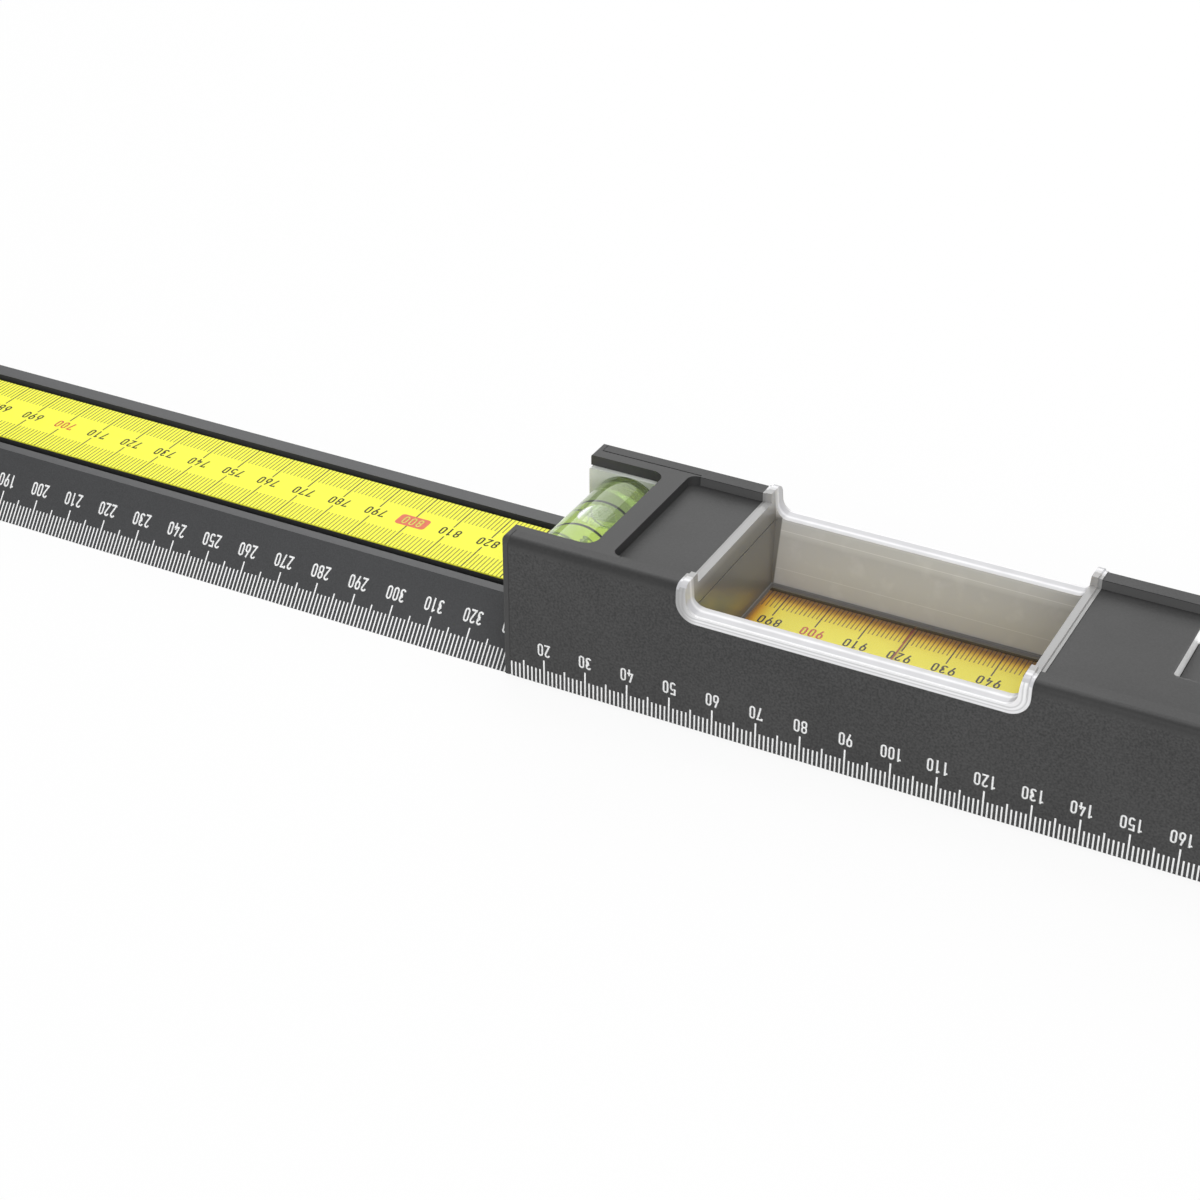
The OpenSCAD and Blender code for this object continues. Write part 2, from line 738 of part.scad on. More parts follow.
module rail_section() {
    slope_t = rail_t * sqrt(1 + bevel_run * bevel_run);
    web_low_z = slot_low_z - rail_t;
    cave_near_y = slot_near_y - undercut - rail_t;
    inside = rail_near_y + slope_t;
    difference() {
        union() {
            difference() {
                polygon([[rail_near_y, 0], [rail_far_y, 0], [rail_far_y, far_rim_z], [slot_far_y, far_rim_z],
                    [slot_far_y, near_rim_z], [rail_near_y + bevel_run * near_rim_z, near_rim_z]]);
                polygon([[inside + bevel_run * rail_t, rail_t], [chamber_near_y - rail_t, rail_t],
                    [chamber_near_y - rail_t, web_low_z], [cave_near_y, web_low_z],
                    [cave_near_y, (cave_near_y - inside) / bevel_run]]);
                translate([chamber_near_y, rail_t])
                    square([chamber_far_y - chamber_near_y, bed_z - 2 * rail_t]);
                translate([chamber_far_y + rail_t, rail_t])
                    square([rail_far_y - chamber_far_y - 2 * rail_t, web_low_z - rail_t]);
            }
            for (y = rail_port_ys) port(y, rail_port_z);
        }
        translate([tape_y, bed_z]) square([tape_w, over]);
        for (slot = [[slot_near_y, tape_y], [tape_far_y, slot_far_y]]) {
            translate([slot[0], slot_low_z]) square([slot[1] - slot[0], far_rim_z]);
            translate([slot[0] - undercut, slot_low_z]) square([slot[1] - slot[0] + 2 * undercut, slot_h]);
        }
        for (y = rail_port_ys) translate([y, rail_port_z]) circle(r = port_bore_r);
    }
}

// places children at both of the rail's ports, on the face at x, turned to run along X by dir
module at_rail_ports(x, dir) {
    for (y = rail_port_ys) {
        at(x, y, rail_port_z) rotate([0, 90 * dir, 0]) children();
    }
}

module rail_profile() {
    color(profile_color) along_x(rail_x, slider_x - rail_x) rail_section();
}

module rail_tape() {
    color([0.98, 0.96, 0.3]) along_x(rail_x, slider_x - rail_x)
        translate([tape_y, bed_z]) square([tape_w, tape_t]);
}

module rail_cap() {
    color(plate_color) difference() {
        cap_block(tip_x, tip_x);
        at_rail_ports(tip_x, 1) screw_hole(cap_t + over, port_bore_r + screw_gap);
    }
}

module rail_cap_screws() {
    color(steel_color) at_rail_ports(tip_x, 1) screw(cap_t + screw_bite);
}

// the slider's flange fills the rail's section and hangs on the housing's guide lips
module slider_section() {
    neck_y = side_t + lip_reach + slider_gap;
    neck_z = port_near_z + port_r + slider_gap;
    low_near_y = rail_near_y + slider_gap;
    polygon([[low_near_y + bevel_run * slider_gap, slider_gap], [rail_far_y, slider_gap],
        [rail_far_y, lip_z - slider_gap], [body_w - neck_y, lip_z - slider_gap],
        [body_w - neck_y, wing_z], [far_y - slider_gap, wing_z], [far_y - slider_gap, wing_top_z],
        [side_t + slider_gap, wing_top_z], [side_t + slider_gap, wing_z], [neck_y, wing_z],
        [neck_y, neck_z], [low_near_y + bevel_run * neck_z, neck_z]]);
}

module slider() {
    plug_y = chamber_near_y + window_gap;
    plug_end_y = chamber_far_y - window_gap;
    plug_z = rail_port_z + port_r + slider_gap;
    color([0.1, 0.1, 0.105]) difference() {
        union() {
            along_x(slider_x, slider_t) slider_section();
            at(slider_x - plug_len, plug_y, plug_z)
                cube([plug_len + over, plug_end_y - plug_y, bed_z - rail_t - window_gap - plug_z]);
        }
        at_rail_ports(slider_x + slider_t, -1) screw_hole(slider_t + over, port_bore_r + screw_gap);
    }
}

module slider_screws() {
    color(steel_color) at_rail_ports(slider_x + slider_t, -1) screw(slider_t + screw_bite);
}

housing_profile();
mouth_insert();
mouth_screws();
cross_vial_barrel();
cross_vial_plug();
cross_vial_liquid();
cross_vial_rings();
reading_window();
red_line();
long_vial_block();
long_vial_plug();
long_vial_liquid();
long_vial_rings();
long_vial_cover();
end_cap();
end_cap_screws();
stop_screw();
rail_profile();
rail_tape();
rail_cap();
rail_cap_screws();
slider();
slider_screws();
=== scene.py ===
import math
import bpy
from mathutils import Euler, Matrix, Vector


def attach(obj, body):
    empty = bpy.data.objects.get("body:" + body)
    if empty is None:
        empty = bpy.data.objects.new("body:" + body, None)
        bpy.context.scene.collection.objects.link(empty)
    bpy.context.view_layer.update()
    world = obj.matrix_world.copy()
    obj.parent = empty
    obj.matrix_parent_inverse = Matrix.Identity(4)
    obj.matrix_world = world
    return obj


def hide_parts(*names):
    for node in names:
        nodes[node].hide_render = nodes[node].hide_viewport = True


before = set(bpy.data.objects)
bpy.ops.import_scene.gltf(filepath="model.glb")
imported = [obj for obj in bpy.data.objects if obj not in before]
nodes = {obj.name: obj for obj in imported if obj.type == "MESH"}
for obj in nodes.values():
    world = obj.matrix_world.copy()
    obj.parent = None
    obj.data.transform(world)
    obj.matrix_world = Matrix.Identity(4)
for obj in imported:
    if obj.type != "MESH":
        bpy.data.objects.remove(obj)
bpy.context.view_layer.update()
mm = 0.001
print("frame loaded")

# where the middle of the model lies along the tool, half the tool's width, and how much more than the
# length along the tool each scale shows with the rail at rest, in mm
tool = {"middle": 140.0, "halfWidth": 23.6, "sideLead": -0.1, "railLead": 321.7, "tapeLead": 830.23}


def place(x, y, z):  # mm along the tool, mm from the ruled side, mm up
    return Vector(((x - tool["middle"]) * mm, (y - tool["halfWidth"]) * mm, z * mm))


# the camera's place in mm along, across and up, its angles in degrees, its lens and sensor in mm
camera = {"at": (236.60, -385.23, 302.34), "turn": 27.774, "down": 32.353, "roll": 0.042, "lens": 74.17,
          "sensor": 36, "nearest": 10}


def makeCamera(c):
    bpy.ops.object.camera_add(location=place(*c["at"]))
    cam = bpy.context.object
    look = Euler((math.radians(90 - c["down"]), 0, math.radians(c["turn"]))).to_matrix()
    cam.rotation_euler = (look @ Euler((0, 0, math.radians(c["roll"]))).to_matrix()).to_euler()
    cam.data.lens = c["lens"]
    cam.data.sensor_width = c["sensor"]
    cam.data.clip_start = c["nearest"] * mm
    bpy.context.scene.camera = cam


# materials

class Wire:  # one socket of a material, for shader maths
    def __init__(self, tree, socket=None):
        self.tree = tree
        self.socket = socket

    def node(self, kind, settings, sockets, output=0):  # any node: type, settings, values or links
        made = self.tree.nodes.new(kind)
        for key, value in settings.items():
            if key == "stops":
                ramp = made.color_ramp
                while len(ramp.elements) < len(value):
                    ramp.elements.new(0.5)
                for element, (at, colour) in zip(ramp.elements, value):
                    element.position = at
                    element.color = (*colour, 1)
            else:
                setattr(made, key, value)
        for key, value in sockets.items():
            if isinstance(value, Wire):
                self.tree.links.new(value.socket, made.inputs[key])
            elif isinstance(value, tuple) and len(value) == 3 and made.inputs[key].type == "RGBA":
                made.inputs[key].default_value = (*value, 1)
            else:
                made.inputs[key].default_value = value
        return Wire(self.tree, made.outputs[output])

    def maths(self, how, first, second=0.0):
        return self.node("ShaderNodeMath", {"operation": how}, {0: first, 1: second})

    def __add__(self, other):
        return self.maths("ADD", self, other)

    def __radd__(self, other):
        return self.maths("ADD", other, self)

    def __sub__(self, other):
        return self.maths("SUBTRACT", self, other)

    def __rsub__(self, other):
        return self.maths("SUBTRACT", other, self)

    def __mul__(self, other):
        return self.maths("MULTIPLY", self, other)

    def __rmul__(self, other):
        return self.maths("MULTIPLY", other, self)

    def __pow__(self, other):
        return self.maths("POWER", self, other)

    def __abs__(self):
        return self.maths("ABSOLUTE", self)

    def least(self, other):
        return self.maths("MINIMUM", self, other)

    def most(self, other):
        return self.maths("MAXIMUM", self, other)

    def over(self, level, soft):  # 0 below the level and 1 above it
        return self.node("ShaderNodeMapRange", {"clamp": True},
                         {"Value": self, "From Min": level - soft, "From Max": level + soft})

    def within(self, centre, half, soft):  # 1 within half of the centre and 0 further off
        return 1 - abs(self - centre).over(half, soft)


def blendColours(wire, factor, first, second):
    return wire.node("ShaderNodeMix", {"data_type": "RGBA"}, {0: factor, 6: first, 7: second}, 2)


def rampColours(wire, factor, stops):
    return wire.node("ShaderNodeValToRGB", {"stops": stops}, {"Fac": factor})


def rampLevels(wire, factor, stops):  # a ramp of grey levels, given as place and level
    return rampColours(wire, factor, [(at, (level, level, level)) for at, level in stops])


def seeThrough(wire, colour):
    return wire.node("ShaderNodeBsdfTransparent", {}, {"Color": colour})


def blendShaders(wire, factor, first, second):
    return wire.node("ShaderNodeMixShader", {}, {0: factor, 1: first, 2: second})


def finishWith(material, blend):  # the material's surface is the blend and not its plain shader
    output = material.node_tree.nodes["Material Output"]
    material.node_tree.links.new(blend.socket, output.inputs["Surface"])


def startMaterial(name):
    material = bpy.data.materials.new(name)
    material.use_nodes = True
    shader = material.node_tree.nodes["Principled BSDF"]
    wire = Wire(material.node_tree)
    spot = wire.node("ShaderNodeTexCoord", {}, {}, 3)
    return material, shader, wire, spot


def spotParts(wire, spot):  # the place on the piece, in mm along, across and up
    apart = wire.node("ShaderNodeSeparateXYZ", {}, {"Vector": spot})
    outputs = apart.socket.node.outputs
    return [Wire(wire.tree, outputs[i]) * 1000.0 for i in range(3)]


def link(wire, shader, socket):
    wire.tree.links.new(wire.socket, shader.inputs[socket])


def grain(wire, spot, scale, detail=2.0):
    return wire.node("ShaderNodeTexNoise", {}, {"Vector": spot, "Scale": scale, "Detail": detail})


def bumpFrom(wire, shader, height, strength, distance):
    bump = wire.node("ShaderNodeBump", {}, {"Strength": strength, "Distance": distance, "Height": height})
    link(bump, shader, "Normal")


# the anodised coat: grain, painted shade on its rounded outer edges, painted light on one inner flank and
# smoother upper faces
coat = {"broadScale": 60.0, "fineShare": 0.8, "broadShare": 0.2, "contrast": 0.16, "calm": 0.7,
        "edgeShadeColour": (0.02, 0.02, 0.02), "flankLightColour": (0.13, 0.13, 0.13), "flankLightShare": 0.75,
        "glossSpread": 0.16, "bumpStrength": 0.25, "bumpDepth": 0.00004}


def anodised(name, look):
    material, shader, wire, spot = startMaterial(name)
    y, z = spotParts(wire, spot)[1:]
    smooth = z.over(look["smoothFrom"], 0.2) * coat["calm"]
    fine = (grain(wire, spot, look["grainScale"]) - 0.5) * (1 - smooth) + 0.5
    broad = grain(wire, spot, coat["broadScale"], 3.0)
    spread = (fine * coat["fineShare"] + broad * coat["broadShare"]).over(0.5, coat["contrast"])
    colour = blendColours(wire, spread, look["dark"], look["light"])
    # painted shade: the rims' rounded outer edges are darkened
    for centre, half, height, soft in look["paintedShadeEdges"]:  # place across, half its width, height, softness
        edge = abs(y).over(centre - half, soft) * z.within(height, half, soft)
        colour = blendColours(wire, edge * look["edgeTone"], colour, coat["edgeShadeColour"])
    # painted light: the far rim's inner flank is made paler
    for level, low, high in look["paintedLightFlanks"]:  # place across, lowest and highest point
        litFlank = y.within(level, 0.05, 0.03) * z.within((low + high) / 2, (high - low) / 2, 0.05)
        colour = blendColours(wire, litFlank * coat["flankLightShare"], colour, coat["flankLightColour"])
    link(colour, shader, "Base Color")
    link(fine * coat["glossSpread"] + look["rough"], shader, "Roughness")
    bumpFrom(wire, shader, fine, coat["bumpStrength"], coat["bumpDepth"])
    shader.inputs["Specular IOR Level"].default_value = look["spec"]
    return material


# moulded plastic: an even tone with a fine grain
mould = {"fineScale": 3200.0, "broadScale": 90.0, "glossSpread": 0.14, "bumpStrength": 0.2,
         "bumpDepth": 0.00003}


def moulded(name, look):
    material, shader, wire, spot = startMaterial(name)
    fine = grain(wire, spot, mould["fineScale"])
    broad = grain(wire, spot, mould["broadScale"])
    link(blendColours(wire, broad, look["dark"], look["light"]), shader, "Base Color")
    link(fine * mould["glossSpread"] + look["rough"], shader, "Roughness")
    bumpFrom(wire, shader, fine, mould["bumpStrength"], mould["bumpDepth"])
    shader.inputs["Specular IOR Level"].default_value = look["spec"]
    return material


inkCoat = {"wearScale": 900.0, "rough": 0.55}


def ink(name, dark, light):
    material, shader, wire, spot = startMaterial(name)
    wear = grain(wire, spot, inkCoat["wearScale"])
    link(blendColours(wire, wear, dark, light), shader, "Base Color")
    shader.inputs["Roughness"].default_value = inkCoat["rough"]
    return material


def refracting(name, look):
    material, shader, wire, spot = startMaterial(name)
    haze = grain(wire, spot, look["hazeScale"])
    link(blendColours(wire, haze, look["dark"], look["light"]), shader, "Base Color")
    link(haze * look["rough"], shader, "Roughness")
    shader.inputs["Transmission Weight"].default_value = look["clear"]
    shader.inputs["IOR"].default_value = look["ior"]
    # a painted glow, in the look's colour and strength
    shader.inputs["Emission Color"].default_value = (*look["glow"], 1)
    shader.inputs["Emission Strength"].default_value = look["paintedGlowPower"]
    return material


# the saddle window: where its walls, flange, foot and floor lie, in mm
saddle = {"middle": -50.6, "halfLong": 38.1, "low": 27.15, "corner": 4.5, "side": 23.65, "endWall": 34.15,
          "endHalf": 20.4, "farFoot": 16.7, "sill": 29.0, "flangeIn": 35.6, "floorTop": 14.95,
          "floorLow": 14.3, "deepFoot": 2.4, "fade": 8.0, "borderWide": 2.4, "rimWide": 2.4,
          "toneFoot": 14.0, "wallTall": 16.0, "endTall": 21.5, "ledgeFrom": 19.5, "ledgeWide": 4.5}
# the painted highlight lines along its walls: height, half width, softness and strength
saddle["wallLines"] = [(26.9, 0.07, 0.05, 0.5), (18.5, 0.06, 0.06, 0.4)]
# painted warm reflections of the tape, a band low on its end walls and a patch on them: centre, half width
# and softness
saddle["warmBand"] = (18.3, 1.4, 2.4)
saddle["smudgeAcross"] = (-13.5, 1.5, 3.0)
saddle["smudgeUp"] = (25.5, 2.0, 3.5)
# its haze, gloss and clearness, and the strength of its painted glints, painted warm reflections and
# painted shade on the flange's left end
saddle.update({"hazeScale": 220.0, "rough": 0.12, "glossSpread": 0.1, "ior": 1.49, "wallSolid": 0.86,
               "outsideSolid": 0.94, "glintShare": 0.12, "warmReflectionShare": 0.5, "hazeShare": 0.3,
               "leftEndShadeShare": 0.8, "endsFaster": 2.4})
# its painted tones of light, shade, highlights and shadow, each list from one edge of its face to the other
saddle["wallTones"] = [
    (0.0, (0.5, 0.49, 0.47)), (0.1, (0.62, 0.61, 0.6)), (0.45, (0.6, 0.59, 0.575)),
    (0.72, (0.55, 0.54, 0.53)), (0.78, (0.64, 0.635, 0.62)), (0.92, (0.64, 0.64, 0.63)),
    (0.97, (0.86, 0.86, 0.86)), (1.0, (0.86, 0.86, 0.86))]
saddle["endTones"] = [
    (0.0, (0.2, 0.185, 0.16)), (0.35, (0.24, 0.23, 0.215)), (0.72, (0.23, 0.225, 0.215)),
    (0.82, (0.27, 0.265, 0.255)), (0.88, (0.36, 0.36, 0.35)), (0.925, (0.42, 0.42, 0.42)),
    (1.0, (0.44, 0.44, 0.44))]
saddle["rimTones"] = [
    (0.0, (0.8, 0.8, 0.81)), (0.2, (0.86, 0.86, 0.87)), (0.31, (0.6, 0.6, 0.61)),
    (0.42, (0.86, 0.86, 0.87)), (0.56, (0.95, 0.95, 0.96)), (0.69, (0.62, 0.62, 0.63)),
    (0.8, (0.88, 0.88, 0.89)), (1.0, (0.9, 0.9, 0.91))]
saddle["ledgeTones"] = [
    (0.0, (0.62, 0.61, 0.6)), (0.3, (0.64, 0.64, 0.65)), (0.4, (0.78, 0.78, 0.8)),
    (0.46, (0.95, 0.95, 0.96)), (0.54, (0.8, 0.8, 0.82)), (0.62, (0.62, 0.62, 0.64)),
    (1.0, (0.6, 0.6, 0.62))]
# painted shadow along the floor's foot: its tones, how solid it is, and the painted warm shade that follows
# it inward
saddle["borderTones"] = [
    (0.0, (0.24, 0.235, 0.225)), (0.2, (0.13, 0.125, 0.12)), (0.35, (0.16, 0.15, 0.145)),
    (0.5, (0.13, 0.12, 0.1)), (0.62, (0.2, 0.185, 0.16)), (0.72, (0.11, 0.09, 0.06)),
    (1.0, (0.1, 0.07, 0.035))]
saddle["borderSolid"] = [(0.0, 0.9), (0.6, 0.85), (0.72, 0.6), (1.0, 0.05)]
saddle["deepSolid"] = [(0.0, 0.6), (0.08, 0.16), (0.16, 0.05), (0.5, 0.08), (1.0, 0.12)]
saddle["footShade"] = [(0.0, 1.0), (0.12, 0.84), (0.3, 0.4), (0.5, 0.14), (1.0, 0.0)]
# its tints: a painted glint, a painted warm reflection, a painted shade on the flange's left end, the haze,
# the floor, the clear plastic and a painted warm shade at the floor's foot
saddle["tints"] = {"glint": (0.95, 0.94, 0.93), "warm": (0.42, 0.33, 0.18), "leftEndShade": (0.33, 0.33, 0.33),
                   "haze": (0.5, 0.5, 0.52), "floor": (0.98, 0.97, 0.95), "clear": (1.0, 0.975, 1.0),
                   "foot": (0.92, 0.72, 0.5)}


def saddleWalls(wire, w, z, haze):  # the long walls, with painted light and shade by height, two painted highlight lines and a few painted glints
    walls = rampColours(wire, (z - w["toneFoot"]) * (1 / w["wallTall"]), w["wallTones"])
    paintedHighlight = haze.over(0.62, 0.08) * w["glintShare"]
    for height, half, soft, strength in w["wallLines"]:
        paintedHighlight = z.within(height, half, soft) * strength + paintedHighlight
    return blendColours(wire, paintedHighlight, walls, w["tints"]["glint"])


def saddleEnds(wire, w, y, z):  # the end walls, with painted shade, darker lower down, and a painted warm reflection of the tape low down at the middle and in one patch
    ends = rampColours(wire, (z - w["toneFoot"]) * (1 / w["endTall"]), w["endTones"])
    warm = z.within(*w["warmBand"]) * (1 - y.over(4.0, 5.0))
    smudge = y.within(*w["smudgeAcross"]) * z.within(*w["smudgeUp"])
    return blendColours(wire, warm.most(smudge) * w["warmReflectionShare"], ends, w["tints"]["warm"])


def saddleRim(wire, w, x, z, along):  # the stepped flange, with painted light and dark reflection bands by the distance in from its rounded edge, and painted shade on its left end
    outX = along - (w["halfLong"] - w["corner"])
    outZ = (w["low"] + w["corner"]) - z
    reach = (outX.most(0.0) ** 2.0 + outZ.most(0.0) ** 2.0) ** 0.5
    edge = w["corner"] - (reach + outX.most(outZ).least(0.0))
    rim = rampColours(wire, edge * (1 / w["rimWide"]), w["rimTones"])
    leftEndShade = 1 - x.over(w["middle"] - w["flangeIn"] + 0.9, 1.6)
    return blendColours(wire, leftEndShade * w["leftEndShadeShare"], rim, w["tints"]["leftEndShade"])


def saddleLedge(wire, w, y, haze):  # the sills over the flange, with a painted highlight line along them
    ledge = rampColours(wire, (abs(y) - w["ledgeFrom"]) * (1 / w["ledgeWide"]), w["ledgeTones"])
    return blendColours(wire, haze.over(0.5, 0.2) * w["hazeShare"], ledge, w["tints"]["haze"])


def saddlePlastic(name, w):
    material, shader, wire, spot = startMaterial(name)
    x, y, z = spotParts(wire, spot)
    along = abs(x - w["middle"])
    haze = grain(wire, spot, w["hazeScale"], 3.0)
    isEnd = along.over(w["endWall"] - 0.3, 0.12) * (1 - abs(y).over(w["endHalf"], 0.3))
    isSide = abs(y).over(w["side"], 0.05)
    isOutside = (z.over(w["sill"], 0.1) * (1 - isEnd)).most(isSide)
    isFloor = 1 - z.over(w["floorTop"], 0.06)
    isTop = z.over(w["floorLow"], 0.06)
    inside = blendColours(wire, isEnd, saddleWalls(wire, w, z, haze), saddleEnds(wire, w, y, z))
    outside = blendColours(wire, isSide, saddleLedge(wire, w, y, haze), saddleRim(wire, w, x, z, along))
    colour = blendColours(wire, isOutside, inside, outside)

    # the floor is clear, with painted dark shadow lines along its foot and a painted warm shade that fades
    # towards its middle
    fromEnd = w["endWall"] - along
    fromSide = w["farFoot"] - abs(y)
    fromFoot = (fromEnd * w["endsFaster"]).least(fromSide) * (1 / w["borderWide"])
    inward = (fromEnd - 0.3).least(fromSide - w["deepFoot"]).most(0.0) * (1 / w["fade"])
    border = rampColours(wire, fromFoot, w["borderTones"])
    border = blendColours(wire, inward.over(0.1, 0.06), border, w["tints"]["floor"])
    link(blendColours(wire, isFloor, colour, border), shader, "Base Color")
    link(haze * w["glossSpread"] + w["rough"], shader, "Roughness")
    shader.inputs["IOR"].default_value = w["ior"]

    floorSolid = rampLevels(wire, fromFoot, w["borderSolid"]).most(rampLevels(wire, inward, w["deepSolid"]))
    wallSolid = isOutside * (w["outsideSolid"] - w["wallSolid"]) + w["wallSolid"]
    solid = wallSolid * (1 - isFloor) + floorSolid * isFloor * isTop
    # painted warm shade: the light that passes near the foot is tinted warm
    shade = rampLevels(wire, inward, w["footShade"])
    clear = seeThrough(wire, w["tints"]["clear"])
    tinted = blendShaders(wire, shade, clear, seeThrough(wire, w["tints"]["foot"]))
    finishWith(material, blendShaders(wire, solid, tinted, Wire(wire.tree, shader.outputs[0])))
    return material


# the long vial's block: clear under its cover, milky round the well over it, dark on its rim; the well's
# walls glow with painted light, more in its corners; heights in mm
well = {"middle": 5.0, "corner": 9.3, "foot": 29.1, "rim": 33.1, "thin": 0.11, "thick": 0.95,
        "clear": (0.75, 0.82, 0.72), "wallDark": (0.78, 0.78, 0.78), "wallLight": (0.86, 0.86, 0.86),
        "rimTone": (0.03, 0.03, 0.03), "wallPaintedGlow": 0.2, "cornerPaintedGlow": 0.3, "hazeScale": 300.0,
        "hazePaintedGlow": 0.06, "rough": 0.15, "rimRough": 0.25, "glossSpread": 0.1}


def wellPlastic(name, w):
    material, shader, wire, spot = startMaterial(name)
    y, z = spotParts(wire, spot)[1:]
    haze = grain(wire, spot, w["hazeScale"])
    isWall = z.over(w["foot"], 0.15)
    isRim = z.over(w["rim"], 0.02)
    corner = abs(y - w["middle"]).over(w["corner"], 0.35)
    pale = blendColours(wire, haze, w["wallDark"], w["wallLight"])
    pale = blendColours(wire, isRim, pale, w["rimTone"])
    link(blendColours(wire, isWall, w["clear"], pale), shader, "Base Color")
    # painted glow: the well's walls give off light of their own, more in the corners
    paintedGlow = (haze * w["hazePaintedGlow"] + corner * w["cornerPaintedGlow"] + w["wallPaintedGlow"]) * isWall * (1 - isRim)
    link(blendColours(wire, paintedGlow, (0.0, 0.0, 0.0), (1.0, 1.0, 1.0)), shader, "Emission Color")
    shader.inputs["Emission Strength"].default_value = 1.0
    link(isWall * (w["thick"] - w["thin"]) + w["thin"], shader, "Alpha")
    link(haze * w["glossSpread"] + isRim * w["rimRough"] + w["rough"], shader, "Roughness")
    return material


milk = {"hazeScale": 200.0, "solidSpread": 0.1, "rough": 0.1}


def milky(name, look):
    material, shader, wire, spot = startMaterial(name)
    haze = grain(wire, spot, milk["hazeScale"])
    link(blendColours(wire, haze, look["dark"], look["light"]), shader, "Base Color")
    link(haze * milk["solidSpread"] + look["solid"], shader, "Alpha")
    shader.inputs["Roughness"].default_value = milk["rough"]
    return material


def steel(name, look):
    material, shader, wire, spot = startMaterial(name)
    fine = grain(wire, spot, look["fineScale"])
    link(blendColours(wire, fine, look["dark"], look["light"]), shader, "Base Color")
    link(fine * look["glossSpread"] + look["rough"], shader, "Roughness")
    shader.inputs["Metallic"].default_value = 1.0
    return material


def printedStrip(name, look):
    material, shader, wire, spot = startMaterial(name)
    broad = grain(wire, spot, look["broadScale"])
    fine = grain(wire, spot, look["fineScale"])
    tone = broad * 0.5 + fine * 0.5
    link(blendColours(wire, tone, look["dark"], look["light"]), shader, "Base Color")
    link(fine * look["glossSpread"] + look["rough"], shader, "Roughness")
    shader.inputs["Specular IOR Level"].default_value = look["spec"]
    return material


# the housing: painted shade on its rims' outer edges and painted light on the far rim's inner flank
housingCoat = {"dark": (0.03, 0.03, 0.03), "light": (0.064, 0.064, 0.064), "grainScale": 2000.0,
               "rough": 0.4, "spec": 0.3, "paintedShadeEdges": [(22.9, 0.9, 34.6, 0.5)], "edgeTone": 0.4,
               "paintedLightFlanks": [(18.9, 33.2, 35.2)], "smoothFrom": 32.9}
railCoat = {"dark": (0.047, 0.048, 0.05), "light": (0.064, 0.065, 0.068), "grainScale": 3400.0,
            "rough": 0.36, "spec": 0.45, "paintedShadeEdges": [], "edgeTone": 0.0,
            "paintedLightFlanks": [], "smoothFrom": 40.0}
insertLook = {"dark": (0.047, 0.047, 0.047), "light": (0.056, 0.056, 0.056), "rough": 0.4, "spec": 0.3}
sliderLook = {"dark": (0.012, 0.012, 0.013), "light": (0.018, 0.018, 0.019), "rough": 0.35, "spec": 0.5}
# near-black paint for the painted shadow in the gap round the long vial's cover
gapShadowLook = {"dark": (0.003, 0.003, 0.003), "light": (0.006, 0.006, 0.006), "rough": 0.6, "spec": 0.05}
tapeLook = {"dark": (0.92, 0.91, 0.045), "light": (0.97, 0.97, 0.06), "rough": 0.45, "spec": 0.3,
            "broadScale": 40.0, "fineScale": 2500.0, "glossSpread": 0.1}
screwLook = {"dark": (0.42, 0.42, 0.43), "light": (0.62, 0.62, 0.63), "rough": 0.25,
             "fineScale": 1800.0, "glossSpread": 0.2}
# the index of the liquid is taken over the barrel's, and the air's over the liquid's
barrelLook = {"dark": (0.93, 0.96, 0.94), "light": (0.98, 0.99, 0.98), "clear": 1.0, "ior": 1.45,
              "glow": (0.9, 1.0, 0.9), "paintedGlowPower": 0.0, "hazeScale": 120.0, "rough": 0.03}
# the liquid glows with a painted green light of its own
liquidLook = {"dark": (0.58, 0.73, 0.34), "light": (0.64, 0.79, 0.4), "clear": 0.88, "ior": 0.95,
              "glow": (0.5, 0.62, 0.3), "paintedGlowPower": 0.18, "hazeScale": 120.0, "rough": 0.03}
bubbleLook = {"dark": (0.82, 0.88, 0.7), "light": (0.88, 0.93, 0.77), "clear": 1.0, "ior": 0.75,
              "glow": (0.9, 1.0, 0.8), "paintedGlowPower": 0.0, "hazeScale": 120.0, "rough": 0.03}
longLiquidLook = {"dark": (0.45, 0.7, 0.08), "light": (0.52, 0.78, 0.12), "solid": 0.82}
plateLook = {"dark": (0.68, 0.71, 0.67), "light": (0.78, 0.81, 0.77), "solid": 0.74}

finishes = {
    "housing": anodised("housingAnodised", housingCoat),
    "rail": anodised("railAnodised", railCoat),
    "insert": moulded("insertPlastic", insertLook),
    "slider": moulded("sliderPlastic", sliderLook),
    "gapShadow": moulded("gapShadowPaint", gapShadowLook),
    "window": saddlePlastic("windowPlastic", saddle),
    "barrel": refracting("barrelPlastic", barrelLook),
    "liquid": refracting("vialLiquid", liquidLook),
    "bubble": refracting("vialAir", bubbleLook),
    "plate": milky("vialPlate", plateLook),
    "well": wellPlastic("wellPlastic", well),
    "longLiquid": milky("longLiquid", longLiquidLook),
    "rings": ink("ringInk", (0.03, 0.035, 0.035), (0.06, 0.065, 0.065)),
    "line": ink("lineInk", (0.55, 0.12, 0.03), (0.68, 0.17, 0.05)),
    "red": ink("redInk", (0.72, 0.09, 0.04), (0.8, 0.13, 0.06)),
    "badge": ink("badgeInk", (0.7, 0.13, 0.06), (0.78, 0.17, 0.09)),
    "white": ink("whiteInk", (0.93, 0.94, 0.94), (0.98, 0.98, 0.98)),
    "black": ink("blackInk", (0.025, 0.02, 0.005), (0.05, 0.04, 0.01)),
    "olive": ink("oliveInk", (0.2, 0.17, 0.01), (0.26, 0.23, 0.02)),
    "yellow": ink("yellowInk", (0.84, 0.76, 0.12), (0.9, 0.83, 0.18)),
    "tape": printedStrip("tapePrint", tapeLook),
    "steel": steel("screwSteel", screwLook),
}

